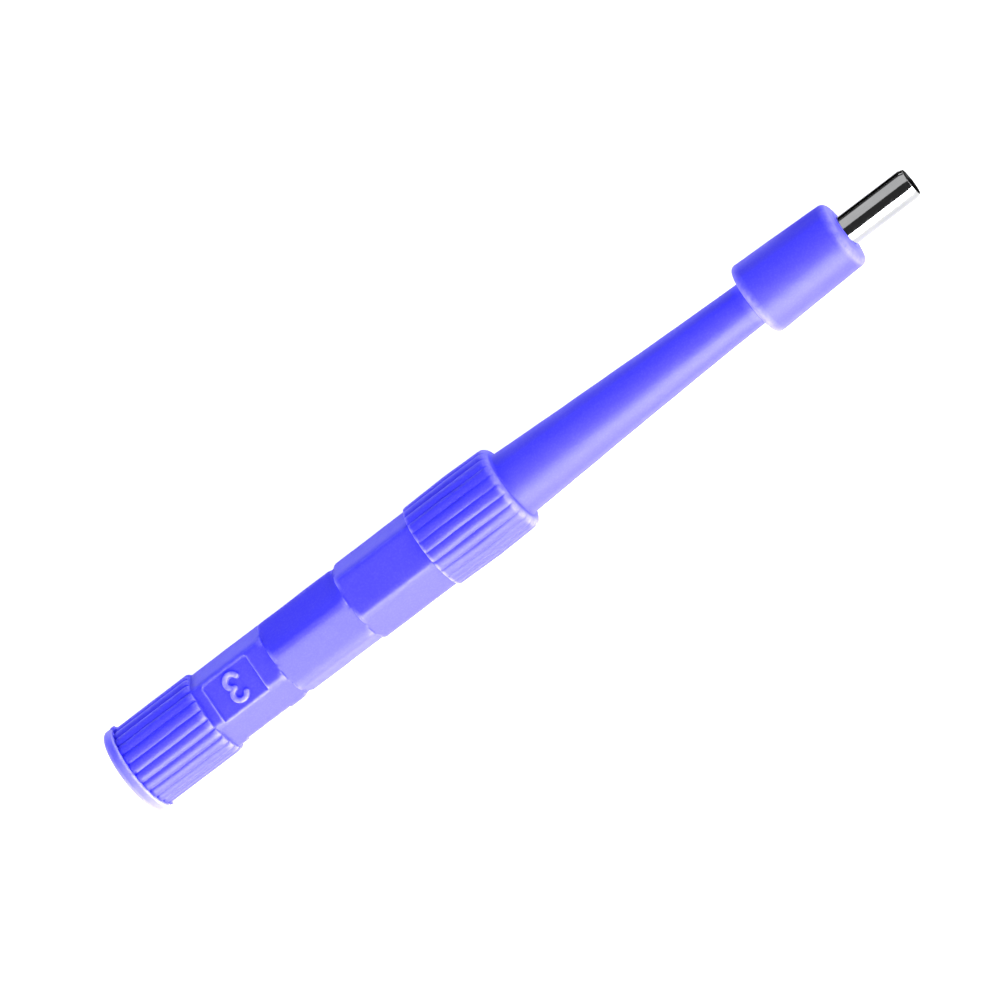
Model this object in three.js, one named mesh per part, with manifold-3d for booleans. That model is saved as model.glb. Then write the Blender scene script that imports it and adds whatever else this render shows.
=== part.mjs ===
// Skin biopsy punch with a 3 mm cutting tube in a moulded plastic handle.
// Millimetres.  The punch lies along +X: the centre of its butt face is the origin and the cutting
// edge is at x = 100.  The facet that carries the size digit faces +Z.

import * as THREE from 'three';
import { mergeVertices } from 'three/addons/utils/BufferGeometryUtils.js';
import Module from 'manifold-3d';

const wasm = await Module();
wasm.setup();

// ---- driving dimensions ----

// Where each section of the punch ends, counted from the butt.
const CAP_END = 1.2;
const REAR_RIBS_END = 10.8;
const DIGIT_HEX_END = 19.75;
const WAIST_HEX_END = 29.5;
const FRONT_HEX_END = 39.05;
const COLLAR_END = 49.45;
const NECK_END = 80.25;
const HEAD_END = 92.05;
const TIP = 100;

// Grip: 24 ribs, so that every fourth groove meets a corner of the hexagons.
const RIB_COUNT = 24;
const RIB_GROOVE = 0.32;
const REAR_RIB_RADIUS = 4.71;
const DIGIT_HEX_RADIUS = 4.6;
const WAIST_HEX_RADIUS = 4.66;
const FRONT_HEX_RADIUS = 4.77;
const HEX_CORNER_ROUNDING = 0.55;
const REAR_SHOULDER_RADIUS = 4.5;
const HEX_SHOULDER_RADIUS = 4.2;
const SHOULDER_LENGTH = 0.4;
const COLLAR_RADIUS = 4.88;
const COLLAR_REAR_RADIUS = 4.78;
const COLLAR_FRONT_RADIUS = 4.75;
const COLLAR_NOSE = 0.75;

// Neck and head.
const NECK_ROOT_RADIUS = 3.6;
const NECK_TIP_RADIUS = 2.41;
const NECK_HOLLOWNESS = 1.22;
const NECK_FILLET = 0.3;
const HEAD_REAR_RADIUS = 4.04;
const HEAD_FRONT_RADIUS = 3.7;
const HEAD_REAR_EDGE = 0.6;
const HEAD_FRONT_EDGE = 0.7;
const HEAD_DOME = 0.3;

// Moulded core inside the grip, closed by the cap's spigot.
const CORE_RADIUS = 2.5;
const CORE_END = 45;
const CORE_CONE = 1.5;
const SPIGOT_CLEARANCE = 0.05;
const SPIGOT_LENGTH = 5;
const CAP_RADIUS = 5.03;
const CAP_REAR_EDGE = 0.4;
const CAP_FRONT_EDGE = 0.15;

// Steel tube: the bore is the size of the punch.
const TUBE_BORE = 3;
const TUBE_OUTSIDE = 3.36;
const TUBE_ROOT = 80.25;
const EDGE_WALL = 0.03;
const EDGE_BEVEL = 0.45;
const POCKET_CLEARANCE = 0.02;
const TUBE_PLUG_END = 86.5;

// Recessed label panels, and the raised size digit.
const PANEL_START = 12;
const PANEL_LENGTH = 5.6;
const PANEL_DEPTH = 0.22;
const PANEL_FAR_EDGE = 1.93;
const PANEL_BREAKOUT = 2.6;
const DIGIT_LOBE = 0.74;
const DIGIT_STROKE = 0.54;
const DIGIT_HEIGHT = 0.3;
const DIGIT_SHIFT = 0.15;
const DIGIT_SWEEP_START = 0.12 * Math.PI;
const DIGIT_SWEEP_END = 1.45 * Math.PI;

const TURNED_SIDES = 48;
const CUT_MARGIN = 1;

// ---- solids ----

// A closed geometry as a solid that can be joined and cut.
function solid(geometry) {
  const bare = geometry.clone();
  bare.deleteAttribute('normal');
  bare.deleteAttribute('uv');
  const merged = mergeVertices(bare, 1e-5);
  const corners = merged.index.array;
  const triangles = [];
  for (let i = 0; i < corners.length; i += 3) {
    const [a, b, c] = [corners[i], corners[i + 1], corners[i + 2]];
    if (a !== b && b !== c && c !== a) triangles.push(a, b, c);
  }
  return new wasm.Manifold(new wasm.Mesh({
    numProp: 3,
    vertProperties: new Float32Array(merged.attributes.position.array),
    triVerts: new Uint32Array(triangles),
  }));
}

function geometryOf(manifold) {
  const mesh = manifold.getMesh();
  const geometry = new THREE.BufferGeometry();
  geometry.setAttribute('position', new THREE.BufferAttribute(new Float32Array(mesh.vertProperties), 3));
  geometry.setIndex(new THREE.BufferAttribute(new Uint32Array(mesh.triVerts), 1));
  geometry.computeVertexNormals();
  return geometry;
}

// A body of revolution about X.  The profile is a list of [x, radius], rear to front along the
// outside, and starts and ends on the axis or closes on itself.
function turned(profile) {
  const points = profile.map(([x, radius]) => new THREE.Vector2(radius, x));
  return new THREE.LatheGeometry(points, TURNED_SIDES).rotateZ(-Math.PI / 2);
}

// A prism along X from start to end.  The outline's x and y become Y and Z.
function prism(outline, start, end) {
  const settings = { depth: end - start, bevelEnabled: false, curveSegments: 4 };
  const geometry = new THREE.ExtrudeGeometry(outline, settings);
  const across = new THREE.Vector3(0, 1, 0);
  const up = new THREE.Vector3(0, 0, 1);
  const along = new THREE.Vector3(1, 0, 0);
  return geometry.applyMatrix4(new THREE.Matrix4().makeBasis(across, up, along)).translate(start, 0, 0);
}

// Points of a quarter-round edge from angle 'from' to 'to' about a centre, as [x, radius].
function roundEdge(centreX, centreRadius, size, from, to, steps = 4) {
  const arc = new THREE.EllipseCurve(centreX, centreRadius, size, size, from, to, from > to);
  return arc.getPoints(steps).map((point) => [point.x, point.y]);
}

// ---- outlines ----

// The point at an angle from +Z, at a radius.
function polar(angle, radius) {
  return new THREE.Vector2(Math.sin(angle) * radius, Math.cos(angle) * radius);
}

// A ring of broad convex ribs with narrow grooves between them; one groove lies on +Z.
function ribbedOutline(crestRadius) {
  const pitch = (2 * Math.PI) / RIB_COUNT;
  const grooveRadius = crestRadius - RIB_GROOVE;
  const controlRadius = crestRadius + RIB_GROOVE * 1.2;
  const outline = new THREE.Shape();
  outline.moveTo(...polar(0, grooveRadius));
  for (let rib = 1; rib <= RIB_COUNT; rib += 1) {
    const crest = polar(-(rib - 0.5) * pitch, controlRadius);
    const groove = polar(-rib * pitch, grooveRadius);
    outline.quadraticCurveTo(...crest, ...groove);
  }
  return outline;
}

// A hexagon with rounded corners.  At a turn of 0 a flat faces +Z.
function hexOutline(cornerRadius, turn) {
  const corners = [];
  for (let i = 0; i < 6; i += 1) {
    corners.push(polar(turn - ((i + 0.5) * Math.PI) / 3, cornerRadius));
  }
  const outline = new THREE.Shape();
  corners.forEach((corner, i) => {
    const before = corners[(i + 5) % 6];
    const after = corners[(i + 1) % 6];
    const share = HEX_CORNER_ROUNDING / cornerRadius;
    const enter = corner.clone().lerp(before, share);
    const leave = corner.clone().lerp(after, share);
    if (i === 0) outline.moveTo(...enter);
    else outline.lineTo(...enter);
    outline.quadraticCurveTo(...corner, ...leave);
  });
  outline.closePath();
  return outline;
}

// ---- handle ----

// The turned shape that trims the shoulders of the grip's sections.
function gripEnvelope() {
  const collarMiddle = (FRONT_HEX_END + COLLAR_END) / 2;
  const noseStart = COLLAR_END - COLLAR_NOSE;
  return turned([
    [CAP_END, 0],
    [CAP_END, REAR_RIB_RADIUS],
    [REAR_RIBS_END - SHOULDER_LENGTH, REAR_RIB_RADIUS],
    [REAR_RIBS_END, REAR_SHOULDER_RADIUS],
    [DIGIT_HEX_END - SHOULDER_LENGTH, DIGIT_HEX_RADIUS],
    [DIGIT_HEX_END, HEX_SHOULDER_RADIUS],
    [DIGIT_HEX_END + SHOULDER_LENGTH, WAIST_HEX_RADIUS],
    [WAIST_HEX_END - SHOULDER_LENGTH, WAIST_HEX_RADIUS],
    [WAIST_HEX_END, HEX_SHOULDER_RADIUS],
    [WAIST_HEX_END + SHOULDER_LENGTH, FRONT_HEX_RADIUS],
    [FRONT_HEX_END, FRONT_HEX_RADIUS],
    [FRONT_HEX_END, COLLAR_REAR_RADIUS],
    [collarMiddle, COLLAR_RADIUS],
    [noseStart, COLLAR_FRONT_RADIUS],
    ...roundEdge(noseStart, COLLAR_FRONT_RADIUS - COLLAR_NOSE, COLLAR_NOSE, Math.PI / 2, 0),
    [COLLAR_END, 0],
  ]);
}

// Ribs, three hexagons, the middle one turned by half a facet, and the ribbed collar.
function grip() {
  const halfFacet = Math.PI / 6;
  return solid(prism(ribbedOutline(REAR_RIB_RADIUS), CAP_END, REAR_RIBS_END))
    .add(solid(prism(hexOutline(DIGIT_HEX_RADIUS, 0), REAR_RIBS_END, DIGIT_HEX_END)))
    .add(solid(prism(hexOutline(WAIST_HEX_RADIUS, halfFacet), DIGIT_HEX_END, WAIST_HEX_END)))
    .add(solid(prism(hexOutline(FRONT_HEX_RADIUS, 0), WAIST_HEX_END, FRONT_HEX_END)))
    .add(solid(prism(ribbedOutline(COLLAR_RADIUS), FRONT_HEX_END, COLLAR_END)))
    .intersect(solid(gripEnvelope()));
}

// Radius of the neck, a hollow taper from the collar to the head.
function neckRadius(x) {
  const toHead = (NECK_END - x) / (NECK_END - COLLAR_END);
  return NECK_TIP_RADIUS + (NECK_ROOT_RADIUS - NECK_TIP_RADIUS) * toHead ** NECK_HOLLOWNESS;
}

function neckAndHead() {
  const neckSteps = 9;
  const neck = [];
  for (let i = 0; i <= neckSteps; i += 1) {
    const x = COLLAR_END + NECK_FILLET + ((NECK_END - COLLAR_END - NECK_FILLET) * i) / neckSteps;
    neck.push([x, neckRadius(x)]);
  }
  const rootInside = COLLAR_END - 2;
  const headRear = NECK_END + HEAD_REAR_EDGE;
  const headFront = HEAD_END - HEAD_DOME - HEAD_FRONT_EDGE;
  const rearEdgeRadius = HEAD_REAR_RADIUS - HEAD_REAR_EDGE;
  const frontEdgeRadius = HEAD_FRONT_RADIUS - HEAD_FRONT_EDGE;
  return solid(turned([
    [rootInside, 0],
    [rootInside, NECK_ROOT_RADIUS],
    [COLLAR_END, NECK_ROOT_RADIUS + NECK_FILLET / 2],
    ...neck,
    ...roundEdge(headRear, rearEdgeRadius, HEAD_REAR_EDGE, Math.PI, Math.PI / 2),
    ...roundEdge(headFront, frontEdgeRadius, HEAD_FRONT_EDGE, Math.PI / 2, 0, 6),
    [HEAD_END - HEAD_DOME / 3, frontEdgeRadius * 0.6],
    [HEAD_END, 0],
  ]));
}

function core() {
  return solid(turned([
    [CAP_END - CUT_MARGIN, 0],
    [CAP_END - CUT_MARGIN, CORE_RADIUS],
    [CORE_END - CORE_CONE, CORE_RADIUS],
    [CORE_END, CORE_RADIUS - CORE_CONE],
    [CORE_END, 0],
  ]));
}

// The pocket that holds the root of the steel tube.
function tubePocket() {
  const radius = TUBE_OUTSIDE / 2 + POCKET_CLEARANCE;
  return solid(turned([
    [TUBE_ROOT, 0],
    [TUBE_ROOT, radius],
    [HEAD_END + CUT_MARGIN, radius],
    [HEAD_END + CUT_MARGIN, 0],
  ]));
}

// The handle's own plastic inside the tube's root, which closes the bore behind the tissue core.
function tubePlug() {
  const radius = TUBE_BORE / 2 - POCKET_CLEARANCE;
  return solid(turned([
    [TUBE_ROOT - CUT_MARGIN, 0],
    [TUBE_ROOT - CUT_MARGIN, radius],
    [TUBE_PLUG_END, radius],
    [TUBE_PLUG_END, 0],
  ]));
}

// Height of the digit hexagon's flats over the axis.
function flatHeight() {
  return DIGIT_HEX_RADIUS * Math.cos(Math.PI / 6);
}

// The cut of a shallow panel in the facet at an angle from +Z.  It breaks out over the facet's
// corner on one side, and stops short of the corner on the other.
function panelCut(facetAngle, side) {
  const width = PANEL_FAR_EDGE + PANEL_BREAKOUT;
  const depth = PANEL_DEPTH + CUT_MARGIN;
  const box = new THREE.BoxGeometry(PANEL_LENGTH, width, depth);
  const middleY = side * (PANEL_FAR_EDGE - width / 2);
  box.translate(PANEL_START + PANEL_LENGTH / 2, middleY, flatHeight() - PANEL_DEPTH + depth / 2);
  return solid(box.rotateX(facetAngle));
}

// One lobe of the digit: part of a ring with round ends, in the plane of the facet.
function digitLobe(centreX, centreY, mirrored) {
  const sign = mirrored ? -1 : 1;
  const outer = DIGIT_LOBE + DIGIT_STROKE / 2;
  const inner = DIGIT_LOBE - DIGIT_STROKE / 2;
  const start = sign * DIGIT_SWEEP_START;
  const end = sign * DIGIT_SWEEP_END;
  const endX = Math.cos(end) * DIGIT_LOBE;
  const endY = Math.sin(end) * DIGIT_LOBE;
  const startX = Math.cos(start) * DIGIT_LOBE;
  const startY = Math.sin(start) * DIGIT_LOBE;
  const lobe = new THREE.Shape();
  lobe.absarc(0, 0, outer, start, end, mirrored);
  lobe.absarc(endX, endY, DIGIT_STROKE / 2, end, end + sign * Math.PI, mirrored);
  lobe.absarc(0, 0, inner, end, start, !mirrored);
  lobe.absarc(startX, startY, DIGIT_STROKE / 2, start + sign * Math.PI, start + sign * 2 * Math.PI, mirrored);
  const settings = { depth: DIGIT_HEIGHT + PANEL_DEPTH, bevelEnabled: false, curveSegments: 10 };
  const geometry = new THREE.ExtrudeGeometry(lobe, settings);
  return solid(geometry.translate(centreX, centreY, flatHeight() - 2 * PANEL_DEPTH));
}

// The raised size digit 3, read from the butt's side.
function sizeDigit() {
  const centreX = PANEL_START + PANEL_LENGTH / 2 + DIGIT_SHIFT;
  const centreY = (PANEL_FAR_EDGE - PANEL_BREAKOUT) / 2 + DIGIT_SHIFT;
  return digitLobe(centreX, centreY + DIGIT_LOBE, false)
    .add(digitLobe(centreX, centreY - DIGIT_LOBE, true));
}

function handleGeometry() {
  const body = grip()
    .add(neckAndHead())
    .subtract(core())
    .subtract(tubePocket())
    .add(tubePlug())
    .subtract(panelCut(0, 1))
    .subtract(panelCut((2 * Math.PI) / 3, -1))
    .add(sizeDigit());
  return geometryOf(body);
}

// ---- cap and tube ----

// A thin disc that overhangs the ribs, with a spigot in the handle's core.
function endCapGeometry() {
  const spigotRadius = CORE_RADIUS - SPIGOT_CLEARANCE;
  return turned([
    [0, 0],
    ...roundEdge(CAP_REAR_EDGE, CAP_RADIUS - CAP_REAR_EDGE, CAP_REAR_EDGE, Math.PI, Math.PI / 2),
    ...roundEdge(CAP_END - CAP_FRONT_EDGE, CAP_RADIUS - CAP_FRONT_EDGE, CAP_FRONT_EDGE, Math.PI / 2, 0, 2),
    [CAP_END, spigotRadius],
    [CAP_END + SPIGOT_LENGTH, spigotRadius],
    [CAP_END + SPIGOT_LENGTH, 0],
  ]);
}

// A thin-walled tube with an outside bevel ground to a cutting edge.
function cuttingTubeGeometry() {
  const bore = TUBE_BORE / 2;
  const outside = TUBE_OUTSIDE / 2;
  return turned([
    [TUBE_ROOT, bore],
    [TUBE_ROOT, outside],
    [TIP - EDGE_BEVEL, outside],
    [TIP, bore + EDGE_WALL],
    [TIP, bore],
    [TUBE_ROOT, bore],
  ]);
}

// ---- assembly ----

const moulding = { roughness: 0.42, metalness: 0 };
const steel = { roughness: 0.16, metalness: 1 };

function piece(name, geometry, color, finish) {
  const mesh = new THREE.Mesh(geometry, new THREE.MeshStandardMaterial({ color, ...finish }));
  mesh.name = name;
  return mesh;
}

const punch = new THREE.Group();
punch.name = 'biopsy_punch';
punch.add(piece('handle', handleGeometry(), 0x5a50f5, moulding));
punch.add(piece('end_cap', endCapGeometry(), 0x9088f8, moulding));
punch.add(piece('cutting_tube', cuttingTubeGeometry(), 0xc8cacc, steel));

export default punch;
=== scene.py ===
"""Looks for the 3 mm skin biopsy punch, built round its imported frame.

The punch lies along +X with the centre of its butt face at the origin. Shapes are worked out in
millimetres, and angles go round the axis from +Z, where the size digit is, towards +Y.
"""

import math

import bpy
import numpy as np
from mathutils import Matrix, Vector


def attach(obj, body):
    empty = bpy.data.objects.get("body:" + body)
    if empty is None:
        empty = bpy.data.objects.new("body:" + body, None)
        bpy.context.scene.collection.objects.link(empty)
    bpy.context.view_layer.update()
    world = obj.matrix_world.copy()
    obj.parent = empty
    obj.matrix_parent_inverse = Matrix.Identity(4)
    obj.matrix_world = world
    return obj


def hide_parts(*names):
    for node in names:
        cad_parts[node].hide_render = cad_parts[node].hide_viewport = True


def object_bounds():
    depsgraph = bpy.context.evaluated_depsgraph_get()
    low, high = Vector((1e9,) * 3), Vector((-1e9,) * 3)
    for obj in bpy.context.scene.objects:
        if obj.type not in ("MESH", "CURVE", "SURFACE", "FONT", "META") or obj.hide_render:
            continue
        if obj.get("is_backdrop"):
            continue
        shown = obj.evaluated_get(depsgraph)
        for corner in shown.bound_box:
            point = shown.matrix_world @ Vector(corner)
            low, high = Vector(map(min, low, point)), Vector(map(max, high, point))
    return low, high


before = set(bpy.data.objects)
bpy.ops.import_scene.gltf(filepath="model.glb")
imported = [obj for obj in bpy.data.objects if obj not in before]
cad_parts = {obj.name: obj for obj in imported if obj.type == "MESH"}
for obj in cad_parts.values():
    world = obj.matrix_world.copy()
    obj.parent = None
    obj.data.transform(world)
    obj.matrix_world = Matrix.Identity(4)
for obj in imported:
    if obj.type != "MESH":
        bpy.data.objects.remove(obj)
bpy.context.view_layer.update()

MM = 0.001

# ---- where each section ends, in millimetres from the butt face ----

CAP_END = 1.2
REAR_RIBS_END = 10.8
DIGIT_HEX_END = 19.75
WAIST_HEX_END = 29.5
FRONT_HEX_END = 39.05
COLLAR_END = 49.45
NECK_END = 80.25
HEAD_END = 92.05
TIP = 100.0

# ---- the outside of the handle ----

RIB_COUNT = 24
RIB_PITCH = 2 * math.pi / RIB_COUNT
REAR_RIB_RADIUS = 4.71
REAR_GROOVE_DEPTH = 0.22
RIB_CROWN_SHARE = 0.86
RIB_GROOVE_POWER = 8
# How far the ribs stray round the handle, in radians.
RIB_WANDER = 0.004
RIB_FINE_WANDER = 0.0025

DIGIT_HEX_RADIUS = 4.6
WAIST_HEX_RADIUS = 4.66
FRONT_HEX_RADIUS = 4.77
HEX_SHARPNESS = 17.0
STEP_EDGE_LENGTH = 0.42
STEP_EDGE_DROP = 0.3
STEP_WALL = 0.05
STEP_SOFTNESS = 0.05
# Plain rows of the mesh stay this far from a step.
STEP_CLEAR = 0.5

COLLAR_RADIUS = 4.88
COLLAR_REAR_RADIUS = 4.78
COLLAR_FRONT_RADIUS = 4.75
COLLAR_GROOVE_RADIUS = 4.65
COLLAR_NOSE = 0.75
COLLAR_REAR_EDGE = 0.14

NECK_ROOT_RADIUS = 3.6
NECK_TIP_RADIUS = 2.41
NECK_HOLLOWNESS = 1.22
NECK_FILLET = 0.3
NECK_TIP_FILLET = 0.15
NECK_CLEAR = 0.3
HEAD_REAR_RADIUS = 4.04
HEAD_FRONT_RADIUS = 3.7
HEAD_REAR_EDGE = 0.6
HEAD_FRONT_EDGE = 0.7
HEAD_DOME = 0.3
FACE_RADIUS = HEAD_FRONT_RADIUS - HEAD_FRONT_EDGE
PARTING_HEIGHT = 0.025
PARTING_HALF_ANGLE = 0.03

# The moulding's waves, on rings wider than OUTSIDE_RADIUS.
WAVINESS = 0.011
FINE_WAVINESS_SHARE = 0.6
OUTSIDE_RADIUS = 2.3

# ---- the core and the cap ----

CORE_RADIUS = 2.5
CORE_END = 45.0
CORE_CONE = 1.5
BUTT_RING_RADIUS = 3.4
SPIGOT_RADIUS = 2.45
SPIGOT_LENGTH = 5.0
SPIGOT_EDGE = 0.2
CAP_RADIUS = 5.03
CAP_REAR_EDGE = 0.4
CAP_FRONT_EDGE = 0.15
CAP_HOLLOW = 0.03
CAP_UNEVENNESS = 0.012
CAP_FINE_UNEVENNESS = 0.008

# The ragged tabs of flash round the cap: angle, half width in radians, and size.
CAP_FLASH = ((1.24, 0.075, 1.0), (-1.72, 0.06, 0.8), (-1.5, 0.03, 0.45), (2.7, 0.05, 0.5))
FLASH_LENGTH = 0.62
FLASH_HEIGHT = 0.2

# ---- the tube, its pocket and the plug in its root ----

BORE_RADIUS = 1.5
TUBE_RADIUS = 1.68
TUBE_ROOT = 80.25
POCKET_RADIUS = 1.7
PLUG_RADIUS = 1.48
PLUG_END = 86.5
PLUG_EDGE = 0.1
MOUTH_FLARE = 0.03
TUBE_ROOT_EDGE = 0.03
TUBE_OUT_OF_ROUND = 0.0015
TUBE_FINE_OUT_OF_ROUND = 0.001
# The cutting edge: its outside bevel, the wall that is left at the end, and how that is honed.
EDGE_BEVEL = 0.45
EDGE_WALL = 0.03
EDGE_HONE = 0.004
# How far a sharp inner corner of the moulding is eased.
EDGE_BREAK = 0.02

# ---- paler edges: partly rubbed plastic, partly painted highlight ----

# Where the moulding is paler round its rims, partly rubbed and partly painted highlight, and over
# what length.
PALE_RIMS = ((COLLAR_END - 0.15, 0.55), (NECK_END, 0.8), (HEAD_END, 1.0))

# How much paler the rims, the digit and the hexagons' corners are, on the scale of "convex": partly
# rubbed, partly painted highlight.
RIM_PALENESS = 0.14
DIGIT_PALENESS = 0.14
CORNER_PALENESS = 0.035
CORNER_HALF_ANGLE = 0.03
# The ribs' edges get less of this paleness, rubbed and painted highlight alike, than the others, by
# this factor.
RIB_EDGE_GAIN = 0.35

# Over what distance "convex" is measured on each piece.
HANDLE_REACH = 0.22
CAP_REACH = 0.15
TUBE_REACH = 0.05

# ---- label panels and the size digit ----

FLAT_HEIGHT = DIGIT_HEX_RADIUS * math.cos(math.pi / 6)
PANEL_START = 12.0
PANEL_END = 17.6
PANEL_DEPTH = 0.14
PANEL_SLOPE = 0.04
PANEL_FAR_EDGE = 1.93
PANEL_EDGE = 0.1
PANEL_CORNER = 0.35
PANEL_UNEVENNESS = 0.015
BLANK_PANEL_ANGLE = -2 * math.pi / 3
DIGIT_X = 14.95
DIGIT_Y = -0.18
DIGIT_LOBE = 0.74
DIGIT_HALF_STROKE = 0.3
DIGIT_EDGE = 0.14
DIGIT_HEIGHT = 0.3
DIGIT_SWEEP_START = 0.12 * math.pi
DIGIT_SWEEP_END = 1.45 * math.pi
DIGIT_CROWN = 0.4
FAR_AWAY = 9.0
# How far round from its facet's middle a panel or the digit can reach, in radians.
PANEL_REACH = 1.2
DIGIT_REACH = 1.0
# Keeps heights finite on the facets that a panel or the digit doesn't reach.
LEAST_COSINE = 0.3

# ---- rows and columns of the meshes ----

# Runs of mesh rows over the digit's hexagon: where each starts and ends, and its number of rows.
DIGIT_HEX_ROWS = (
    (REAR_RIBS_END + 0.52, PANEL_START - 0.14, 5),
    (PANEL_START - 0.09, PANEL_START + 0.12, 6),
    (PANEL_START + 0.22, 13.72, 11),
    (13.8, 15.98, 44),
    (16.1, PANEL_END - 0.2, 11),
    (PANEL_END - 0.1, PANEL_END + 0.1, 6),
    (PANEL_END + 0.2, DIGIT_HEX_END - STEP_CLEAR, 6),
)

# Radii of the rings on the head's domed face.
FACE_RINGS = (FACE_RADIUS - 0.15, 2.7, 2.4, 2.1, POCKET_RADIUS + 0.1)

# Mesh columns within one rib's pitch: over the digit's facet, and elsewhere, closer to the grooves.
EVEN_COLUMNS = np.arange(22) / 22
CROWDED_COLUMNS = np.array([0.0, 0.035, 0.08, 0.15, 0.28, 0.5, 0.72, 0.85, 0.92, 0.965])
CAP_COLUMNS = 240
TUBE_COLUMNS = 192


# ---- shape functions ----


def smooth(low, high, value):
    """0 below low, 1 above high, with an S-curve between."""
    t = np.clip((value - low) / (high - low), 0.0, 1.0)
    return t * t * (3 - 2 * t)


def wave(x, across, per_x, per_across, phase=0.0):
    """A sine wave along the punch and round it, or across one of its panels."""
    return np.sin(per_x * x + per_across * across + phase)


def ribbed(angle, x, crest, groove):
    """A ring of broad convex ribs with narrow grooves, one of them on +Z."""
    wander = RIB_WANDER * wave(x, angle, 0.55, 3) + RIB_FINE_WANDER * wave(x, angle, 1.3, 7, 1)
    place = np.mod((angle + wander) / RIB_PITCH, 1.0)
    from_crest = np.abs(2 * place - 1)
    crown = RIB_CROWN_SHARE * from_crest**2 + (1 - RIB_CROWN_SHARE) * from_crest**RIB_GROOVE_POWER
    return crest - (crest - groove) * crown


def hexagon(angle, corner_radius, turn):
    """A hexagon with rounded corners. With no turn a flat faces +Z."""
    flat = corner_radius * math.cos(math.pi / 6)
    total = np.zeros_like(angle)
    for side in range(6):
        facing = np.cos(angle - turn - side * math.pi / 3)
        total += np.maximum(facing, 0.0) ** HEX_SHARPNESS
    return flat * total ** (-1 / HEX_SHARPNESS)


def unwrap(angle):
    """The same angle, between minus and plus half a turn."""
    return np.mod(angle + math.pi, 2 * math.pi) - math.pi


def panel_mask(x, across):
    """1 inside a label panel, 0 outside, with soft rounded edges. across runs to the far edge."""
    half_x = (PANEL_END - PANEL_START) / 2
    out_x = np.abs(x - (PANEL_START + PANEL_END) / 2) - (half_x - PANEL_CORNER)
    out_y = across - (PANEL_FAR_EDGE - PANEL_CORNER)
    corner = np.hypot(np.maximum(out_x, 0.0), np.maximum(out_y, 0.0))
    inside = np.minimum(np.maximum(out_x, out_y), 0.0)
    return 1 - smooth(-PANEL_EDGE / 2, PANEL_EDGE / 2, corner + inside - PANEL_CORNER)


def sink_panel(radius, x, angle, facet, side):
    """The radius after a flat panel is sunk in a facet; it breaks out over one corner."""
    local = unwrap(angle - facet)
    near = np.abs(local) < PANEL_REACH
    across = side * radius * np.sin(local)
    depth = PANEL_DEPTH + PANEL_SLOPE * (PANEL_FAR_EDGE - across)
    if facet != 0:
        uneven = wave(x, across, 2.6, 2) * wave(x, across, 1.7, -2.4, 1)
        depth = depth + PANEL_UNEVENNESS * uneven
    floor = (FLAT_HEIGHT - depth) / np.maximum(np.cos(local), LEAST_COSINE)
    sunk = np.maximum(radius - floor, 0.0) * panel_mask(x, across)
    return np.where(near, radius - sunk, radius)


def digit_height(x, across):
    """Height of the digit 3 over its panel, from the distance to the middle of its stroke."""
    nearest = np.full(np.broadcast(x, across).shape, FAR_AWAY)
    for sign in (1, -1):
        dx = x - DIGIT_X
        dy = sign * (across - DIGIT_Y) - DIGIT_LOBE
        turn = np.mod(np.arctan2(dy, dx), 2 * math.pi)
        on_arc = (turn > DIGIT_SWEEP_START) & (turn < DIGIT_SWEEP_END)
        to_arc = np.abs(np.hypot(dx, dy) - DIGIT_LOBE)
        to_end = np.full(on_arc.shape, FAR_AWAY)
        for end in (DIGIT_SWEEP_START, DIGIT_SWEEP_END):
            end_x, end_y = DIGIT_LOBE * math.cos(end), DIGIT_LOBE * math.sin(end)
            to_end = np.minimum(to_end, np.hypot(dx - end_x, dy - end_y))
        nearest = np.minimum(nearest, np.where(on_arc, to_arc, to_end))
    edge = DIGIT_HALF_STROKE - DIGIT_EDGE / 2
    crown = 1 - DIGIT_CROWN + DIGIT_CROWN * (1 - np.clip(nearest / DIGIT_HALF_STROKE, 0, 1) ** 2)
    return DIGIT_HEIGHT * crown * (1 - smooth(edge, edge + DIGIT_EDGE, nearest))


def neck_radius(x):
    """The neck's slightly hollow taper."""
    to_head = (NECK_END - x) / (NECK_END - COLLAR_END)
    taper = np.maximum(to_head, 0.0) ** NECK_HOLLOWNESS
    return NECK_TIP_RADIUS + (NECK_ROOT_RADIUS - NECK_TIP_RADIUS) * taper


def parting(angle):
    """Height of the thin mould line that runs along both sides."""
    from_line = np.abs(np.abs(unwrap(angle)) - math.pi / 2)
    return PARTING_HEIGHT * np.exp(-((from_line / PARTING_HALF_ANGLE) ** 2))


def moulding_waves(x, angle):
    """The slight sink and waviness of the moulding."""
    broad = wave(x, angle, 0.9, 2, 0.4) * wave(x, angle, 0.37, -1)
    fine = wave(x, angle, 1.9, 3) * wave(x, angle, 0.8, 4, 2)
    return WAVINESS * (broad + FINE_WAVINESS_SHARE * fine)


# ---- meshes from rings round the axis ----


def column_angles():
    """Angles of the handle's mesh columns, rib by rib."""
    angles = []
    for rib in range(-RIB_COUNT // 2, RIB_COUNT // 2):
        places = EVEN_COLUMNS if -2 <= rib < 2 else CROWDED_COLUMNS
        angles.extend((rib + places) * RIB_PITCH)
    return np.array(angles)


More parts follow.
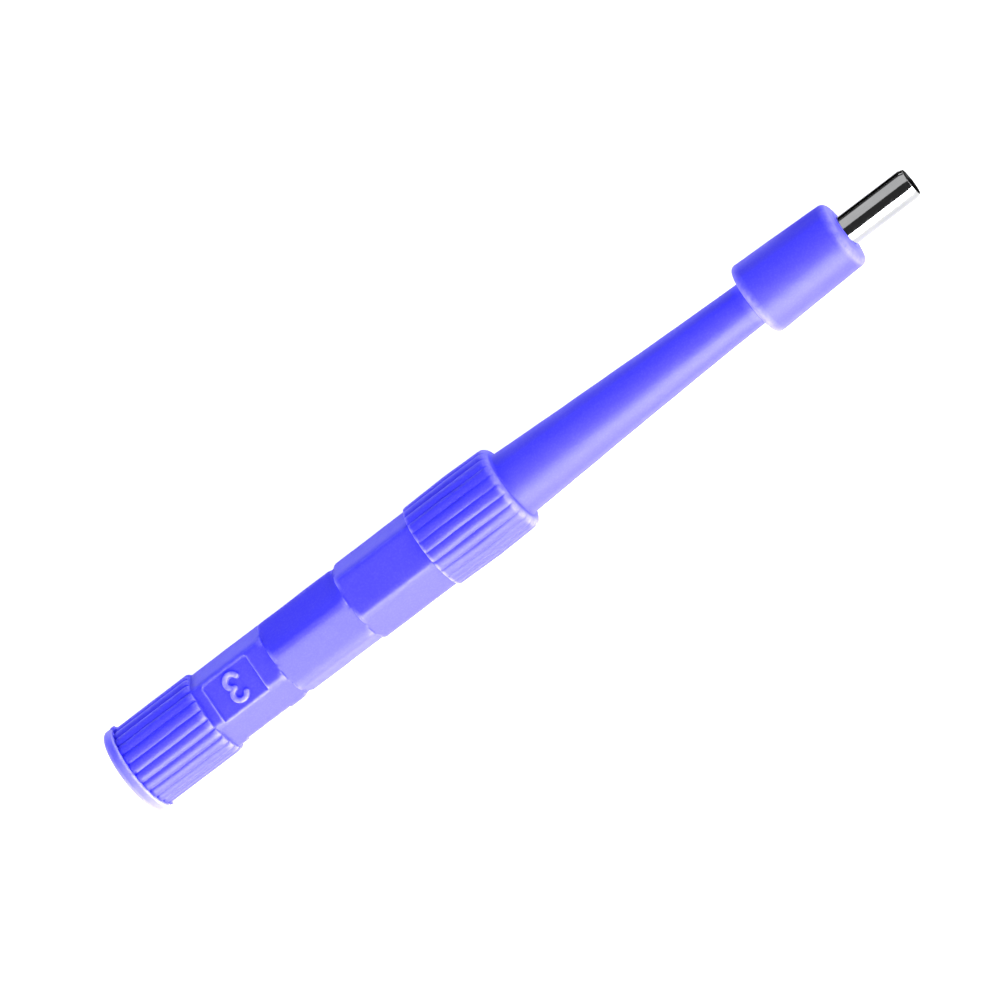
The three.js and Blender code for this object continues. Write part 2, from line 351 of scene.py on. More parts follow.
def edge_amounts(x, radius, angle, reach):
    """How convex the surface is at each vertex, measured over a fixed reach in millimetres."""
    rows, columns = radius.shape
    points = np.stack([x, radius * np.sin(angle), radius * np.cos(angle)], axis=2)
    bend = np.zeros_like(points)
    for j in range(columns):
        steps = np.hypot(np.diff(x[:, j]), np.diff(radius[:, j]))
        along = np.concatenate([[0.0], np.cumsum(steps)])
        along += np.arange(rows) * 1e-9
        for shift in (-reach, reach):
            for k in range(3):
                bend[:, j, k] += np.interp(along + shift, along, points[:, j, k])
    wide_angle = np.concatenate([angle - 2 * math.pi, angle, angle + 2 * math.pi])
    for i in range(rows):
        wide_radius = np.tile(radius[i], 3)
        for shift in (-reach, reach):
            turned_angle = angle + shift / np.maximum(radius[i], 0.5)
            turned_radius = np.interp(turned_angle, wide_angle, wide_radius)
            bend[i, :, 0] += x[i]
            bend[i, :, 1] += turned_radius * np.sin(turned_angle)
            bend[i, :, 2] += turned_radius * np.cos(turned_angle)
    bend = bend / 4 - points
    down_rows = np.gradient(points, axis=0)
    across = (np.roll(points, -1, axis=1) - np.roll(points, 1, axis=1)) / 2
    normal = np.cross(down_rows, across)
    length = np.maximum(np.linalg.norm(normal, axis=2, keepdims=True), 1e-9)
    return -np.sum(bend * normal / length, axis=2) / reach


def loft(name, x, radius, angle, ends, reach, gain=1.0, extra=0.0):
    """A mesh through rings of vertices, row by row. ends says what closes it: 'pole' or 'loop'.

    Each vertex keeps how convex the surface is there. gain scales what is convex, and extra is
    added to it, for paler moulding that is partly rubbed and partly painted highlight.
    """
    rows, columns = radius.shape
    y = radius * np.sin(angle)
    z = radius * np.cos(angle)
    vertices = np.stack([x, y, z], axis=2).reshape(-1, 3) * MM
    faces = []
    last = rows if ends == "loop" else rows - 1
    for i in range(last):
        here, there = i * columns, ((i + 1) % rows) * columns
        for j in range(columns):
            k = (j + 1) % columns
            faces.append((here + j, there + j, there + k, here + k))
    convex = edge_amounts(x, radius, angle, reach)
    convex = (np.where(convex > 0, convex * gain, convex) + extra).reshape(-1)
    if ends == "pole":
        first_pole, last_pole = len(vertices), len(vertices) + 1
        poles = [[x[0, 0] * MM, 0, 0], [x[-1, 0] * MM, 0, 0]]
        vertices = np.concatenate([vertices, poles])
        convex = np.concatenate([convex, [0.0, 0.0]])
        bottom = (rows - 1) * columns
        for j in range(columns):
            k = (j + 1) % columns
            faces.append((first_pole, j, k))
            faces.append((last_pole, bottom + k, bottom + j))
    mesh = bpy.data.meshes.new(name)
    mesh.from_pydata(vertices.tolist(), [], faces)
    mesh.validate()
    mesh.update()
    mesh.shade_smooth()
    mesh.attributes.new("convex", "FLOAT", "POINT").data.foreach_set("value", convex)
    made = bpy.data.objects.new(name, mesh)
    bpy.context.scene.collection.objects.link(made)
    return made


def rings_to_grid(rings, angle):
    """Rings of (x, radius), each a number or a value per column, as two full grids."""
    x = np.array([np.broadcast_to(ring[0], angle.shape) for ring in rings], dtype=float)
    radius = np.array([np.broadcast_to(ring[1], angle.shape) for ring in rings], dtype=float)
    return x, radius


def quarter(centre_x, centre_radius, size, start, end, steps):
    """Rings of a quarter-round edge, between two angles from the axis direction."""
    turns = np.linspace(start, end, steps)
    return [(centre_x + size * math.cos(t), centre_radius + size * math.sin(t)) for t in turns]


# ---- handle ----


def step_rings(where, rear, front):
    """Rings of the shoulder between two sections: the one that stands proud has a rounded edge."""
    rings = []
    for section, other, side in ((rear, front, -1), (front, rear, 1)):
        turns = np.linspace(0, math.pi / 2, 7)
        for t in turns[::-side]:
            x = where + side * (STEP_WALL / 2 + STEP_EDGE_LENGTH * (1 - math.sin(t)))
            difference = section(x) - other(x)
            proud = (difference + np.hypot(difference, STEP_SOFTNESS)) / 2
            drop = STEP_EDGE_DROP * (1 - math.cos(t))
            rings.append((x, section(x) - drop * proud / (drop + proud)))
    return rings


def handle_rings(angle):
    """Rings from the mouth of the core over the outside and down the tube's pocket to its plug."""

    def rear_ribs(x):
        return ribbed(angle, x, REAR_RIB_RADIUS, REAR_RIB_RADIUS - REAR_GROOVE_DEPTH)

    def digit_hex(x):
        radius = hexagon(angle, DIGIT_HEX_RADIUS, 0)
        across = radius * np.sin(angle)
        radius = sink_panel(radius, x, angle, 0, 1)
        radius = sink_panel(radius, x, angle, BLANK_PANEL_ANGLE, -1)
        facing = np.abs(unwrap(angle)) < DIGIT_REACH
        height = np.where(facing, digit_height(x, across), 0)
        return radius + height / np.maximum(np.cos(angle), LEAST_COSINE)

    def waist_hex(x):
        return hexagon(angle, WAIST_HEX_RADIUS, math.pi / 6)

    def front_hex(x):
        return hexagon(angle, FRONT_HEX_RADIUS, 0)

    def collar(x):
        middle = (FRONT_HEX_END + COLLAR_END) / 2
        edge = COLLAR_REAR_RADIUS if x < middle else COLLAR_FRONT_RADIUS
        reach = (COLLAR_END - FRONT_HEX_END) / 2
        crest = COLLAR_RADIUS - (COLLAR_RADIUS - edge) * min(abs(x - middle) / reach, 1)
        return ribbed(angle, x, crest, COLLAR_GROOVE_RADIUS)

    def neck(x):
        return neck_radius(x) + parting(angle)

    def rows(section, start, end, count):
        return [(x, section(x)) for x in np.linspace(start, end, count)]

    rings = [(CAP_END, CORE_RADIUS), (CAP_END, BUTT_RING_RADIUS)]
    rings += rows(rear_ribs, CAP_END, REAR_RIBS_END - STEP_CLEAR, 20)
    rings += step_rings(REAR_RIBS_END, rear_ribs, digit_hex)
    for start, end, count in DIGIT_HEX_ROWS:
        rings += rows(digit_hex, start, end, count)
    rings += step_rings(DIGIT_HEX_END, digit_hex, waist_hex)
    rings += rows(waist_hex, DIGIT_HEX_END + STEP_CLEAR, WAIST_HEX_END - STEP_CLEAR, 20)
    rings += step_rings(WAIST_HEX_END, waist_hex, front_hex)
    rings += rows(front_hex, WAIST_HEX_END + STEP_CLEAR, FRONT_HEX_END - 0.1, 20)
    rim = COLLAR_REAR_EDGE
    rings.append((FRONT_HEX_END, np.minimum(front_hex(0), collar(FRONT_HEX_END) - rim)))
    for t in np.linspace(0, math.pi / 2, 6):
        x = FRONT_HEX_END + rim - rim * math.cos(t)
        rings.append((x, collar(x) - rim + rim * math.sin(t)))
    nose_start = COLLAR_END - COLLAR_NOSE
    rings += rows(collar, FRONT_HEX_END + 0.4, nose_start - 0.12, 22)
    for t in np.linspace(math.pi / 2, 0, 9):
        nose_x = nose_start + COLLAR_NOSE * math.cos(t)
        crest = COLLAR_FRONT_RADIUS - COLLAR_NOSE + COLLAR_NOSE * math.sin(t)
        fade = (COLLAR_FRONT_RADIUS - COLLAR_GROOVE_RADIUS) * math.sin(t) ** 1.5
        rings.append((nose_x, ribbed(angle, nose_start, crest, crest - fade)))
    root = NECK_ROOT_RADIUS + NECK_FILLET
    rings += quarter(COLLAR_END + NECK_FILLET, root, NECK_FILLET, math.pi, 1.5 * math.pi, 6)
    rings += rows(neck, COLLAR_END + NECK_FILLET + NECK_CLEAR, NECK_END - NECK_CLEAR, 38)
    fillet = NECK_TIP_FILLET
    rings += quarter(NECK_END - fillet, NECK_TIP_RADIUS + fillet, fillet, -math.pi / 2, 0, 4)
    edge = HEAD_REAR_EDGE
    rings += quarter(NECK_END + edge, HEAD_REAR_RADIUS - edge, edge, math.pi, math.pi / 2, 9)
    front = HEAD_END - HEAD_DOME - HEAD_FRONT_EDGE
    for share in np.linspace(0.05, 0.97, 20):
        x = NECK_END + edge + (front - NECK_END - edge) * share
        taper = HEAD_REAR_RADIUS + (HEAD_FRONT_RADIUS - HEAD_REAR_RADIUS) * share
        rings.append((x, taper + parting(angle)))
    rings += quarter(front, FACE_RADIUS, HEAD_FRONT_EDGE, math.pi / 2, 0.1, 12)
    for radius in FACE_RINGS:
        rings.append((HEAD_END - HEAD_DOME * (radius / FACE_RADIUS) ** 2, radius))
    mouth = rings[-1][0]
    rings += [
        (mouth - EDGE_BREAK, POCKET_RADIUS + MOUTH_FLARE),
        (mouth - 0.1, POCKET_RADIUS),
        (TUBE_ROOT + EDGE_BREAK, POCKET_RADIUS),
        (TUBE_ROOT, POCKET_RADIUS - EDGE_BREAK),
        (TUBE_ROOT, PLUG_RADIUS + EDGE_BREAK),
        (TUBE_ROOT + EDGE_BREAK, PLUG_RADIUS),
        (PLUG_END - PLUG_EDGE, PLUG_RADIUS),
        (PLUG_END, PLUG_RADIUS - PLUG_EDGE),
    ]
    return rings


def core_rings():
    """The closed, cone-ended core that the cap's spigot goes into."""
    return [
        (CORE_END, CORE_RADIUS - CORE_CONE),
        (CORE_END - CORE_CONE, CORE_RADIUS),
        (CAP_END + EDGE_BREAK, CORE_RADIUS),
    ]


def build_handle():
    """The one-piece handle, paler over its digit, rims and corners: partly rubbed, partly painted
    highlight.
    """
    angle = column_angles()
    x, radius = rings_to_grid(core_rings() + handle_rings(angle), angle)
    outside = (radius > OUTSIDE_RADIUS) & (x > CAP_END + 0.3) & (x < HEAD_END - 0.05)
    radius = radius + np.where(outside, moulding_waves(x, angle), 0)
    across = radius * np.sin(angle)
    facing = np.abs(unwrap(angle)) < DIGIT_REACH
    on_digit = np.where(facing, digit_height(x, across) / DIGIT_HEIGHT, 0)
    rims = 0.0
    for place, width in PALE_RIMS:
        rims = rims + np.where(outside, np.exp(-(((x - place) / width) ** 2)), 0)
    on_rear_ribs = x < REAR_RIBS_END - 0.5
    on_collar = (x > FRONT_HEX_END + 0.3) & (x < COLLAR_END - 0.5)
    on_digit_hex = (x > REAR_RIBS_END + 0.1) & (x < DIGIT_HEX_END - 0.1)
    on_front_hex = (x > WAIST_HEX_END + 0.1) & (x < FRONT_HEX_END - 0.1)
    from_corner = np.abs(np.mod(angle, math.pi / 3) - math.pi / 6)
    near_corner = np.exp(-((from_corner / CORNER_HALF_ANGLE) ** 2))
    corners = np.where((on_digit_hex | on_front_hex) & outside, near_corner, 0)
    gain = np.where(on_rear_ribs | on_collar, RIB_EDGE_GAIN, 1.0)
    # Paleness on the digit, rims and corners: partly rubbed, partly painted highlight.
    extra = DIGIT_PALENESS * on_digit + RIM_PALENESS * rims + CORNER_PALENESS * corners
    return loft("punch_handle", x, radius, angle, "pole", HANDLE_REACH, gain, extra)


# ---- cap ----


def build_cap():
    """The disc at the butt, with its ragged flash, and the spigot that holds it."""
    angle = np.linspace(-math.pi, math.pi, CAP_COLUMNS, endpoint=False)
    rings = [(0.0, 0.6), (0.0, 2.2), (0.0, 3.8)]
    inner = CAP_RADIUS - CAP_REAR_EDGE
    rings += quarter(CAP_REAR_EDGE, inner, CAP_REAR_EDGE, math.pi, math.pi / 2, 9)
    ragged = 0.6 + 0.4 * np.sin(41 * angle) * np.sin(67 * angle + 1)
    flash = np.zeros_like(angle)
    for where, width, size in CAP_FLASH:
        flash += size * np.exp(-((unwrap(angle - where) / width) ** 4))
    flash *= ragged
    uneven = CAP_UNEVENNESS * np.sin(5 * angle + 0.7) + CAP_FINE_UNEVENNESS * np.sin(11 * angle)
    edge = CAP_FRONT_EDGE
    front = CAP_END - edge
    for share in (0.25, 0.5, 0.75):
        x = CAP_REAR_EDGE + (front - CAP_REAR_EDGE) * share
        hollow = CAP_HOLLOW * math.sin(math.pi * share)
        rings.append((x, CAP_RADIUS - hollow + uneven * share))
    for t in np.linspace(math.pi / 2, 0, 6):
        forward = FLASH_LENGTH * math.cos(t) * flash
        outward = FLASH_HEIGHT * flash * (0.5 + 0.5 * math.cos(t))
        x = front + edge * math.cos(t) + forward
        rings.append((x, CAP_RADIUS - edge + edge * math.sin(t) + outward + uneven))
    rings.append((CAP_END + 0.3 * flash, CAP_RADIUS - 0.3 + 0.1 * flash))
    spigot_end = CAP_END + SPIGOT_LENGTH
    rings += [
        (CAP_END, 4.2),
        (CAP_END, SPIGOT_RADIUS + 0.1),
        (CAP_END + EDGE_BREAK, SPIGOT_RADIUS),
        (spigot_end - SPIGOT_EDGE, SPIGOT_RADIUS),
        (spigot_end, SPIGOT_RADIUS - SPIGOT_EDGE),
        (spigot_end, 0.8),
    ]
    x, radius = rings_to_grid(rings, angle)
    return loft("punch_end_cap", x, radius, angle, "pole", CAP_REACH)


# ---- tube ----


def build_tube():
    """The thin tube, bevelled outside to its cutting edge, open right through."""
    angle = np.linspace(-math.pi, math.pi, TUBE_COLUMNS, endpoint=False)
    rings = [
        (TUBE_ROOT, BORE_RADIUS + TUBE_ROOT_EDGE),
        (TUBE_ROOT, TUBE_RADIUS - TUBE_ROOT_EDGE),
        (TUBE_ROOT + TUBE_ROOT_EDGE, TUBE_RADIUS),
    ]
    rings += [(x, TUBE_RADIUS) for x in np.linspace(TUBE_ROOT + 0.5, TIP - EDGE_BEVEL - 0.08, 24)]
    wall = BORE_RADIUS + EDGE_WALL
    for share in (0.0, 0.04, 0.1, 0.3, 0.6, 0.9, 0.97):
        drop = (TUBE_RADIUS - wall) * share
        rings.append((TIP - EDGE_BEVEL * (1 - share), TUBE_RADIUS - drop))
    rings += [(TIP, wall - EDGE_HONE), (TIP, BORE_RADIUS + EDGE_HONE), (TIP - 0.01, BORE_RADIUS)]
    rings += [(x, BORE_RADIUS) for x in np.linspace(TIP - 0.3, TUBE_ROOT + TUBE_ROOT_EDGE, 24)]
    x, radius = rings_to_grid(rings, angle)
    uneven = TUBE_OUT_OF_ROUND * wave(x, angle, 0.3, 2)
    uneven = uneven + TUBE_FINE_OUT_OF_ROUND * wave(x, angle, -0.9, 3)
    return loft("punch_cutting_tube", x, radius + uneven, angle, "loop", TUBE_REACH)


# ---- materials ----


class Nodes:
    """A small helper that adds and joins shader nodes."""

    def __init__(self, name):
        self.material = bpy.data.materials.new(name)
        self.material.use_nodes = True
        self.tree = self.material.node_tree
        self.tree.nodes.clear()

    def add(self, kind, inputs=(), **settings):
        node = self.tree.nodes.new(kind)
        for key, value in settings.items():
            setattr(node, key, value)
        for key, value in dict(inputs).items():
            self.put(node.inputs[key], value)
        return node

    def put(self, socket, value):
        """Join a socket to another one, or set it to a plain value."""
        if hasattr(value, "is_linked"):
            self.tree.links.new(value, socket)
        else:
            socket.default_value = value

    def noise(self, place, scale, detail=2.0, roughness=0.5):
        inputs = {"Vector": place, "Scale": scale, "Detail": detail, "Roughness": roughness}
        return self.add("ShaderNodeTexNoise", inputs).outputs["Fac"]

    def span(self, value, low, high, to_low=0.0, to_high=1.0):
        """A value taken from the range low to high into another range, and held inside it."""
        inputs = {
            "Value": value,
            "From Min": low,
            "From Max": high,
            "To Min": to_low,
            "To Max": to_high,
        }
        return self.add("ShaderNodeMapRange", inputs, clamp=True).outputs["Result"]

    def multiply(self, a, b):
        return self.maths("MULTIPLY", a, b)

    def stretched(self, place, share):
        """Places squeezed along the punch, so that a pattern over them is drawn out along it."""
        inputs = {"Vector": place, "Scale": (share, 1.0, 1.0)}
        return self.add("ShaderNodeMapping", inputs).outputs["Vector"]

    def maths(self, operation, a, b):
        node = self.add("ShaderNodeMath", operation=operation)
        self.put(node.inputs[0], a)
        self.put(node.inputs[1], b)
        return node.outputs[0]

    def blend(self, factor, a, b):
        node = self.add("ShaderNodeMix", data_type="RGBA")
        self.put(node.inputs["Factor"], factor)
        self.put(node.inputs[6], a)
        self.put(node.inputs[7], b)
        return node.outputs[2]

    def bump(self, height, distance, before=None):
        inputs = {"Height": height, "Distance": distance, "Strength": 1.0}
        node = self.add("ShaderNodeBump", inputs)
        if before is not None:
            self.put(node.inputs["Normal"], before)
        return node.outputs["Normal"]

    def finish(self, shader):
        output = self.add("ShaderNodeOutputMaterial")
        self.tree.links.new(shader.outputs["BSDF"], output.inputs["Surface"])
        return self.material


# Noise in the plastic, in cells per metre, and the height of its bumps in metres.
GRAIN_CELLS = 5200.0
PEEL_CELLS = 700.0
STREAK_CELLS = 120.0
RUB_CELLS = 1500.0
STREAK_SQUEEZE = 0.25
GRAIN_HEIGHT = 9e-6
PEEL_HEIGHT = 1.2e-5

# How the surface's convexity turns into paler edges, partly rubbed and partly painted highlight,
# and into painted shade in the grooves.
WORN_AND_LIT_FROM = 0.045
WORN_AND_LIT_FULLY = 0.27
GROOVE_SHADE_FROM = -0.12
GROOVE_SHADE_FULLY = -0.45
WEAR_AND_HIGHLIGHT_STRENGTH = 0.55
GRAIN_STRENGTH = 0.06
GROOVE_SHADE_STRENGTH = 0.4


def moulded_plastic(name, deep, worn_and_lit, gloss, scatter, depth, shine, sheen):
    """Satin moulded plastic: fine spark-eroded grain, slight streaks, paler edges that are partly
    rubbed and partly painted highlight, and painted shade in its grooves.

    deep is its own colour, and the second colour is the paler one of its grain and of its edges,
    partly rubbed and partly painted highlight. gloss is its mean roughness, scatter and depth are
    the weight and reach in metres of the light inside it, and shine and sheen are its two gloss
    weights.
    """
    n = Nodes(name)
    place = n.add("ShaderNodeTexCoord").outputs["Object"]
    grain = n.noise(place, GRAIN_CELLS, 3.0, 0.6)
    peel = n.noise(place, PEEL_CELLS, 2.0)
    cloud = n.noise(n.stretched(place, STREAK_SQUEEZE), STREAK_CELLS, 3.0)
    rub = n.noise(place, RUB_CELLS, 4.0, 0.65)

    convex = n.add("ShaderNodeAttribute", attribute_name="convex").outputs["Fac"]
    # Paler edges where the surface is convex: partly rubbed, partly painted highlight.
    edge = n.span(convex, WORN_AND_LIT_FROM, WORN_AND_LIT_FULLY)
    wear_and_highlight = n.multiply(edge, n.span(rub, 0.3, 0.62, 0.35, 1.0))
    # Painted shade: grooves and creases are darkened where the surface is concave.
    groove = n.span(convex, GROOVE_SHADE_FROM, GROOVE_SHADE_FULLY, 0.0, GROOVE_SHADE_STRENGTH)

    paler = (deep[0] * 1.18, deep[1] * 1.18, deep[2], 1)
    # The painted shade colour for the grooves.
    shaded = (deep[0] * 0.55, deep[1] * 0.5, deep[2] * 0.92, 1)
    colour = n.blend(n.span(cloud, 0.35, 0.65), deep, paler)
    colour = n.blend(n.multiply(n.span(grain, 0.45, 0.75), GRAIN_STRENGTH), colour, worn_and_lit)
    # Partly rubbed, partly painted highlight on the convex edges.
    colour = n.blend(n.multiply(wear_and_highlight, WEAR_AND_HIGHLIGHT_STRENGTH), colour, worn_and_lit)
    colour = n.blend(groove, colour, shaded)

    streaks = n.span(cloud, 0.3, 0.7, gloss - 0.05, gloss + 0.05)
    rough = n.maths("ADD", streaks, n.multiply(wear_and_highlight, 0.06))
    rough = n.maths("ADD", rough, n.span(rub, 0.35, 0.7, -0.03, 0.04))
    normal = n.bump(grain, GRAIN_HEIGHT, n.bump(peel, PEEL_HEIGHT))
    shader = n.add(
        "ShaderNodeBsdfPrincipled",
        {
            "Base Color": colour,
            "Roughness": rough,
            "Normal": normal,
            "IOR": 1.5,
            "Specular IOR Level": shine,
            "Subsurface Weight": scatter,
            "Subsurface Radius": (0.25, 0.22, 1.0),
            "Subsurface Scale": depth,
            "Sheen Weight": sheen,
            "Sheen Roughness": 0.45,
            "Sheen Tint": (0.9, 0.9, 1.0, 1.0),
        },
    )
    return n.finish(shader)


# The steel's colours, and its noise in cells and metres as for the plastic.
STEEL = (0.35, 0.354, 0.36, 1)
PALER_STEEL = (0.4, 0.4, 0.405, 1)
MARKED_STEEL = (0.3, 0.3, 0.31, 1)
# Almost black: painted shade inside the bore.
PAINTED_BORE_SHADE = (0.015, 0.015, 0.015, 1)
DRAW_CELLS = 9000.0
MOTTLE_CELLS = 2600.0
STEEL_CLOUD_CELLS = 300.0
DRAW_SQUEEZE = 0.03
DRAW_HEIGHT = 6e-7
MOTTLE_HEIGHT = 2.4e-6


def drawn_steel(name):
    """Polished stainless tube: fine marks along the draw, faint mottling, a rougher bore painted
    almost black as painted shade.
    """
    n = Nodes(name)
    place = n.add("ShaderNodeTexCoord").outputs["Object"]
    marks = n.noise(n.stretched(place, DRAW_SQUEEZE), DRAW_CELLS, 3.0, 0.6)
    mottle = n.noise(place, MOTTLE_CELLS, 3.0, 0.55)
    cloud = n.noise(place, STEEL_CLOUD_CELLS, 2.0)

    split = n.add("ShaderNodeSeparateXYZ", {"Vector": place})
    across, up = split.outputs["Y"], split.outputs["Z"]
    out_squared = n.maths("ADD", n.multiply(across, across), n.multiply(up, up))
    out = n.maths("SQRT", out_squared, 0)
    outside = n.span(out, (BORE_RADIUS + 0.01) * MM, (BORE_RADIUS + 0.03) * MM)

    colour = n.blend(n.span(cloud, 0.35, 0.65), STEEL, PALER_STEEL)
    colour = n.blend(n.multiply(n.span(marks, 0.5, 0.72), 0.3), colour, MARKED_STEEL)
    # Painted shade: the bore is coloured almost black, as the inside of the tube in shadow.
    colour = n.blend(outside, PAINTED_BORE_SHADE, colour)
    bore_roughness = n.span(outside, 0.0, 1.0, 0.3, 0.0)
    rough = n.maths("ADD", n.span(mottle, 0.35, 0.68, 0.05, 0.14), bore_roughness)
    normal = n.bump(marks, DRAW_HEIGHT, n.bump(mottle, MOTTLE_HEIGHT))
    shader = n.add(
        "ShaderNodeBsdfPrincipled",
        {"Base Color": colour, "Roughness": rough, "Metallic": 1.0, "Normal": normal},
    )
    return n.finish(shader)


WHITE = (1, 1, 1, 1)


def studio_surface(n, colour, roughness, glow, specular=0.5):
    """A plain studio surface that gives some light of its own, made of the nodes in n."""
    shader = n.add(
        "ShaderNodeBsdfPrincipled",
        {
            "Base Color": colour,
            "Roughness": roughness,
            "Specular IOR Level": specular,
            "Emission Color": WHITE,
            "Emission Strength": glow,
        },
    )
    return n.finish(shader)


# ---- the three pieces ----

# Each deep colour is followed by the paler one of its grain and edges, partly rubbed and partly
# painted highlight.
DEEP_BLUE = (0.026, 0.02, 0.95, 1)
RUBBED_AND_LIT_BLUE = (0.3, 0.28, 0.95, 1)
DEEP_LILAC = (0.1, 0.092, 0.95, 1)
RUBBED_AND_LIT_LILAC = (0.36, 0.35, 0.95, 1)

handle_plastic = moulded_plastic(
    "handle_plastic_look",
    DEEP_BLUE,
    RUBBED_AND_LIT_BLUE,
    gloss=0.5,
    scatter=0.3,
    depth=0.0012,
    shine=0.42,
    sheen=0.04,
)
cap_plastic = moulded_plastic(
    "cap_plastic_look",
    DEEP_LILAC,
    RUBBED_AND_LIT_LILAC,
    gloss=0.6,
    scatter=1.0,
    depth=0.005,
    shine=0.2,
    sheen=0.45,
)

handle = build_handle()
handle.data.materials.append(handle_plastic)
cap = build_cap()
cap.data.materials.append(cap_plastic)
tube = build_tube()
tube.data.materials.append(drawn_steel("polished_steel_look"))

for piece, node, slot in (
    (handle, "handle", "handle_plastic"),
    (cap, "end_cap", "cap_plastic"),
    (tube, "cutting_tube", "polished_steel"),
):
    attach(piece, "root")
    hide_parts(node)

# ---- floor, lights and camera ----

# Places and sizes here are in metres.
FLOOR_HALF = 3.0
FLOOR_GLOW = 0.8
FLOOR_CELLS = 900.0
FLOOR_SHADE = (0.43, 0.43, 0.43, 1)
FLOOR_PALER_SHADE = (0.47, 0.47, 0.47, 1)
STUDIO_ROUGHNESS = 0.9

BACKDROP_SIDES = 64
BACKDROP_RADIUS = FLOOR_HALF * 0.98
BACKDROP_TOP = 4.0
BACKDROP_SHADE = (0.5, 0.5, 0.5, 1)
BACKDROP_GLOW = 0.9

# The cards' corners on the floor, and their heights over it.
BLACK_CARD = [(0.086, 0.0085), (0.115, 0.0085), (0.1, 0.6), (-0.06, 0.6)]
BLACK_CARD_HEIGHT = 0.2 * MM
BLACK_CARD_SHADE = (0.002, 0.002, 0.002, 1)
WHITE_CARD = [(-0.03, -0.16), (0.085, -0.16), (0.085, -0.0055), (-0.03, -0.0055)]
WHITE_CARD_HEIGHT = 0.1 * MM
WHITE_CARD_SHADE = (0.5, 0.5, 0.5, 1)
WHITE_CARD_GLOW = 1.9

# Zenith and azimuth in degrees, distance, width and height, and radiance.
KEY_SOFTBOX = (70, -90, 0.45, 0.9, 0.38, 15.4)
BUTT_SOFTBOX = (58, 168, 0.6, 0.5, 0.5, 3.2)
TIP_SOFTBOX = (66, -8, 0.6, 0.5, 0.4, 4.4)
CEILING_PANEL = (43, 90, 0.7, 1.0, 0.87, 0.45)
GLOSS_PANEL = (45, 90, 0.65, 1.0, 0.84, 0.62)
LIGHTS_AIM = Vector((0.05, 0, 0))
WORLD_STRENGTH = 0.06


def studio_object(name, vertices, faces, material):
    mesh = bpy.data.meshes.new(name)
    mesh.from_pydata(vertices, [], faces)
    mesh.materials.append(material)
    made = bpy.data.objects.new(name, mesh)
    bpy.context.scene.collection.objects.link(made)
    return made


def build_floor():
    """A pale floor under the lowest point of the punch."""
    n = Nodes("floor_look")
    place = n.add("ShaderNodeTexCoord").outputs["Object"]
    colour = n.blend(n.noise(place, FLOOR_CELLS), FLOOR_SHADE, FLOOR_PALER_SHADE)
    look = studio_surface(n, colour, STUDIO_ROUGHNESS, FLOOR_GLOW)
    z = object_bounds()[0].z
    corners = [(-1, -1), (1, -1), (1, 1), (-1, 1)]
    vertices = [(a * FLOOR_HALF, b * FLOOR_HALF, z) for a, b in corners]
    floor = studio_object("floor", vertices, [(0, 1, 2, 3)], look)
    floor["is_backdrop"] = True


def build_backdrop():
    """A pale wall all round, which only the camera sees."""
    count = BACKDROP_SIDES
    turns = [2 * math.pi * i / count for i in range(count)]
    circle = [(BACKDROP_RADIUS * math.cos(t), BACKDROP_RADIUS * math.sin(t)) for t in turns]
    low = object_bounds()[0].z - 1 * MM
    vertices = [(x, y, z) for z in (low, BACKDROP_TOP) for x, y in circle]
    faces = [(i, (i + 1) % count, count + (i + 1) % count, count + i) for i in range(count)]
    n = Nodes("backdrop_look")
    look = studio_surface(n, BACKDROP_SHADE, STUDIO_ROUGHNESS, BACKDROP_GLOW)
    backdrop = studio_object("backdrop", vertices, faces, look)
    backdrop.visible_diffuse = False
    backdrop.visible_glossy = False
    backdrop.visible_shadow = False
    backdrop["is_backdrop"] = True


def card(name, height, corners, shade, glow):
    """A studio card that the camera doesn't see, just over the floor."""
    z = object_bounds()[0].z + height
    look = studio_surface(Nodes(name + "_look"), shade, 1.0, glow, specular=0.0)
    made = studio_object(name, [(x, y, z) for x, y in corners], [(0, 1, 2, 3)], look)
    made.visible_camera = False
    made.visible_shadow = False
    made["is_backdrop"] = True
    return made


def build_cards():
    """A black card darkens one reflection in the tube, and a bright one lifts the near flank."""
    black = card("black_card", BLACK_CARD_HEIGHT, BLACK_CARD, BLACK_CARD_SHADE, 0.0)
    black.visible_diffuse = False
    card("white_card", WHITE_CARD_HEIGHT, WHITE_CARD, WHITE_CARD_SHADE, WHITE_CARD_GLOW)


def direction(zenith, azimuth):
    """A unit vector, from angles in degrees: down from +Z, and round from +X towards +Y."""
    down, turn = math.radians(zenith), math.radians(azimuth)
    flat = math.sin(down)
    return Vector((flat * math.cos(turn), flat * math.sin(turn), math.cos(down)))


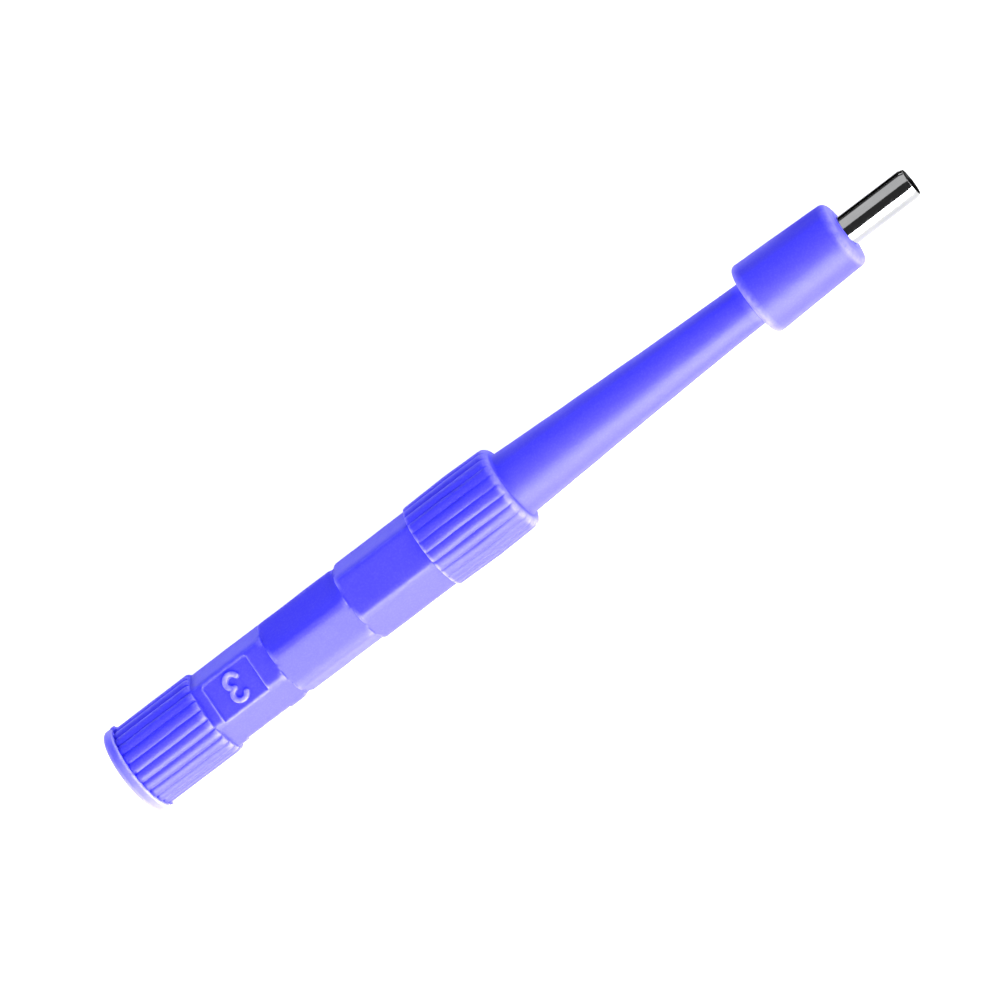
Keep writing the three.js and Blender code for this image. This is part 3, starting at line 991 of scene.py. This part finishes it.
def softbox(name, zenith, azimuth, distance, width, height, radiance):
    """A rectangular light that faces the middle of the punch."""
    towards = direction(zenith, azimuth)
    light = bpy.data.lights.new(name, "AREA")
    light.shape = "RECTANGLE"
    light.size, light.size_y = width, height
    light.energy = radiance * math.pi * width * height
    box = bpy.data.objects.new(name, light)
    box.location = LIGHTS_AIM + towards * distance
    box.rotation_mode = "QUATERNION"
    box.rotation_quaternion = towards.to_track_quat("Z", "Y")
    box.visible_camera = False
    bpy.context.scene.collection.objects.link(box)
    return box


def build_lights():
    """Five softboxes and panels in a dim room. The gloss panel is seen only in reflections."""
    softbox("key_softbox", *KEY_SOFTBOX)
    softbox("butt_softbox", *BUTT_SOFTBOX)
    softbox("tip_softbox", *TIP_SOFTBOX)
    softbox("ceiling_panel", *CEILING_PANEL)
    softbox("gloss_panel", *GLOSS_PANEL).visible_diffuse = False
    world = bpy.data.worlds.new("studio")
    world.use_nodes = True
    background = world.node_tree.nodes["Background"]
    background.inputs["Color"].default_value = WHITE
    background.inputs["Strength"].default_value = WORLD_STRENGTH
    bpy.context.scene.world = world
    bpy.context.scene.view_settings.view_transform = "Standard"


CAMERA_PLACE = Vector((0.1960, -0.1502, 0.6889))
CAMERA_AIM = Vector((0.04750, -0.00046, 0.0))
CAMERA_LENS = 258.48
SENSOR_WIDTH = 36.0
AXIS_RISE = 37.25


def build_camera():
    """The axis of the punch rises to the right at AXIS_RISE degrees in the frame."""
    back = (CAMERA_PLACE - CAMERA_AIM).normalized()
    along = Vector((1, 0, 0)) - back * back.x
    along.normalize()
    below = along.cross(back)
    rise = math.radians(AXIS_RISE)
    right = along * math.cos(rise) + below * math.sin(rise)
    up = along * math.sin(rise) - below * math.cos(rise)
    data = bpy.data.cameras.new("camera")
    data.lens = CAMERA_LENS
    data.sensor_width = SENSOR_WIDTH
    data.clip_start, data.clip_end = 0.01, 20.0
    camera = bpy.data.objects.new("camera", data)
    turn = Matrix((right, up, back)).transposed()
    camera.matrix_world = Matrix.Translation(CAMERA_PLACE) @ turn.to_4x4()
    bpy.context.scene.collection.objects.link(camera)
    bpy.context.scene.camera = camera


build_floor()
build_backdrop()
build_cards()
build_lights()
build_camera()
